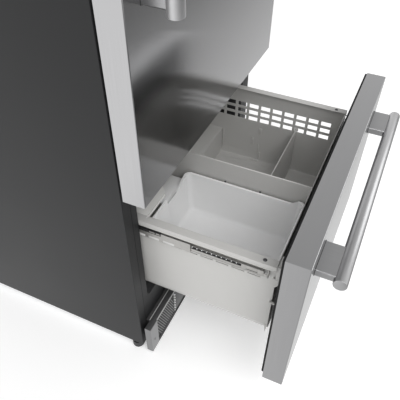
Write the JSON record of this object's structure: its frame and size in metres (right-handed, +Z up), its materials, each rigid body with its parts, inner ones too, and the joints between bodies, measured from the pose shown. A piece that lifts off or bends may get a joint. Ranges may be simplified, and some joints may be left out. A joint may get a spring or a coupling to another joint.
{
  "type": "drawer refrigerator",
  "caption": "Tall free-standing refrigerator with an upper door and a pull-out freezer drawer on telescopic slides, with a lift-out bin, bar handles and a slotted toe grille.",
  "frame": {"origin": "on the floor, under the middle of the bounding box with the drawer pulled out", "axes": "+X to the right seen from the front, +Y from the front to the back, +Z up"},
  "size_m": [0.76, 1.0865, 2.032],
  "materials": {
    "stainless": "brushed, satin",
    "case_paint": "fine textured dark grey",
    "zinc_steel": "zinc plated, dull",
    "liner_white": "satin moulded",
    "drawer_plastic": "satin moulded",
    "bin_white": "satin moulded",
    "seal_black": "matt",
    "grille_black": "matt",
    "foot_black": "matt",
    "glass": "clear, polished",
    "crisper_clear": "clear, polished",
    "coil_aluminium": "plain",
    "compressor_black": "semi-gloss",
    "foam": "hidden insulation"
  },
  "bodies": {
    "cabinet": {"air_duct": "liner_white", "back_panel": "zinc_steel", "base_pan": "zinc_steel", "centre_hinge": "case_paint", "compressor": "compressor_black", "condenser": "coil_aluminium", "condenser_fan_motor": "grille_black", "control_panel": "liner_white", "crisper_lid": "glass", "drip_tray": "grille_black", "evaporator": "coil_aluminium", "evaporator_cover": "liner_white", "evaporator_fan_motor": "grille_black", "foam_body": "foam", "freezer_liner": "liner_white", "fridge_liner": "liner_white", "front_frame": "case_paint", "grille_louvres": "grille_black", "hinge_cover": "case_paint", "machine_wall": "zinc_steel", "rear_cover": "zinc_steel", "shelf_middle": "glass", "shelf_upper": "glass", "side_panel_left": "case_paint", "side_panel_right": "case_paint", "slide_outer_left": "zinc_steel", "slide_outer_right": "zinc_steel", "toe_grille": "stainless", "top_hinge": "case_paint", "top_panel": "case_paint"},
    "upper_door": {"door_skin": "stainless", "door_liner": "liner_white", "door_gasket": "seal_black", "door_handle": "stainless", "door_handle_posts": "stainless", "door_bins": "liner_white"},
    "freezer_drawer": {"drawer_skin": "stainless", "drawer_liner": "drawer_plastic", "drawer_gasket": "seal_black", "drawer_handle": "stainless", "drawer_handle_posts": "stainless", "drawer_side_left": "drawer_plastic", "drawer_side_right": "drawer_plastic", "drawer_tray": "drawer_plastic", "centre_wall": "drawer_plastic", "rear_rail": "drawer_plastic", "drawer_divider": "drawer_plastic", "slide_inner_left": "zinc_steel", "slide_inner_right": "zinc_steel"},
    "storage_bin": {"storage_bin": "bin_white"},
    "slide_middle_left": {"slide_middle_left": "zinc_steel"},
    "slide_middle_right": {"slide_middle_right": "zinc_steel"},
    "condenser_fan": {"condenser_fan": "grille_black"},
    "evaporator_fan": {"evaporator_fan": "grille_black"},
    "levelling_leg_left": {"levelling_leg_left": "foot_black"},
    "levelling_leg_right": {"levelling_leg_right": "foot_black"},
    "roller_left": {"roller_left": "foot_black"},
    "roller_right": {"roller_right": "foot_black"},
    "crisper_left": {"crisper_left": "crisper_clear"},
    "crisper_right": {"crisper_right": "crisper_clear"}
  },
  "joints": [
    {"name": "door_hinge", "type": "hinge", "parent": "cabinet", "child": "upper_door", "pos_m": [0.364, -0.10225, 1.3], "axis": [0, 0, 1], "range_deg": [0, 115]},
    {"name": "drawer_slide", "type": "slide", "parent": "cabinet", "child": "freezer_drawer", "axis": [0, 1, 0], "range_m": [0, 0.349]},
    {"name": "slide_middle_left_run", "type": "slide", "parent": "cabinet", "child": "slide_middle_left", "axis": [0, 1, 0], "range_m": [0, 0.1745]},
    {"name": "slide_middle_right_run", "type": "slide", "parent": "cabinet", "child": "slide_middle_right", "axis": [0, 1, 0], "range_m": [0, 0.1745]},
    {"name": "bin_lift", "type": "slide", "parent": "freezer_drawer", "child": "storage_bin", "axis": [0, 0, 1], "range_m": [0, 0.05]},
    {"name": "crisper_left_slide", "type": "slide", "parent": "cabinet", "child": "crisper_left", "axis": [0, -1, 0], "range_m": [0, 0.048]},
    {"name": "crisper_right_slide", "type": "slide", "parent": "cabinet", "child": "crisper_right", "axis": [0, -1, 0], "range_m": [0, 0.048]},
    {"name": "condenser_fan_spin", "type": "hinge", "parent": "cabinet", "child": "condenser_fan", "pos_m": [-0.16, 0.36375, 0.09725], "axis": [0, 1, 0], "continuous": true},
    {"name": "evaporator_fan_spin", "type": "hinge", "parent": "cabinet", "child": "evaporator_fan", "pos_m": [0.19, 0.411, 0.447], "axis": [0, 1, 0], "continuous": true},
    {"name": "leg_left_turn", "type": "hinge", "parent": "cabinet", "child": "levelling_leg_left", "pos_m": [-0.363, -0.03925, 0.04], "axis": [0, 0, 1], "range_deg": [-360, 360]},
    {"name": "leg_right_turn", "type": "hinge", "parent": "cabinet", "child": "levelling_leg_right", "pos_m": [0.363, -0.03925, 0.04], "axis": [0, 0, 1], "range_deg": [-360, 360]},
    {"name": "roller_left_roll", "type": "hinge", "parent": "cabinet", "child": "roller_left", "pos_m": [-0.3, 0.47725, 0.025], "axis": [1, 0, 0], "continuous": true},
    {"name": "roller_right_roll", "type": "hinge", "parent": "cabinet", "child": "roller_right", "pos_m": [0.3, 0.47725, 0.025], "axis": [1, 0, 0], "continuous": true}
  ],
  "couplings": [
    {"joint": "slide_middle_left_run", "follows": "drawer_slide", "ratio": 0.5},
    {"joint": "slide_middle_right_run", "follows": "drawer_slide", "ratio": 0.5}
  ]
}
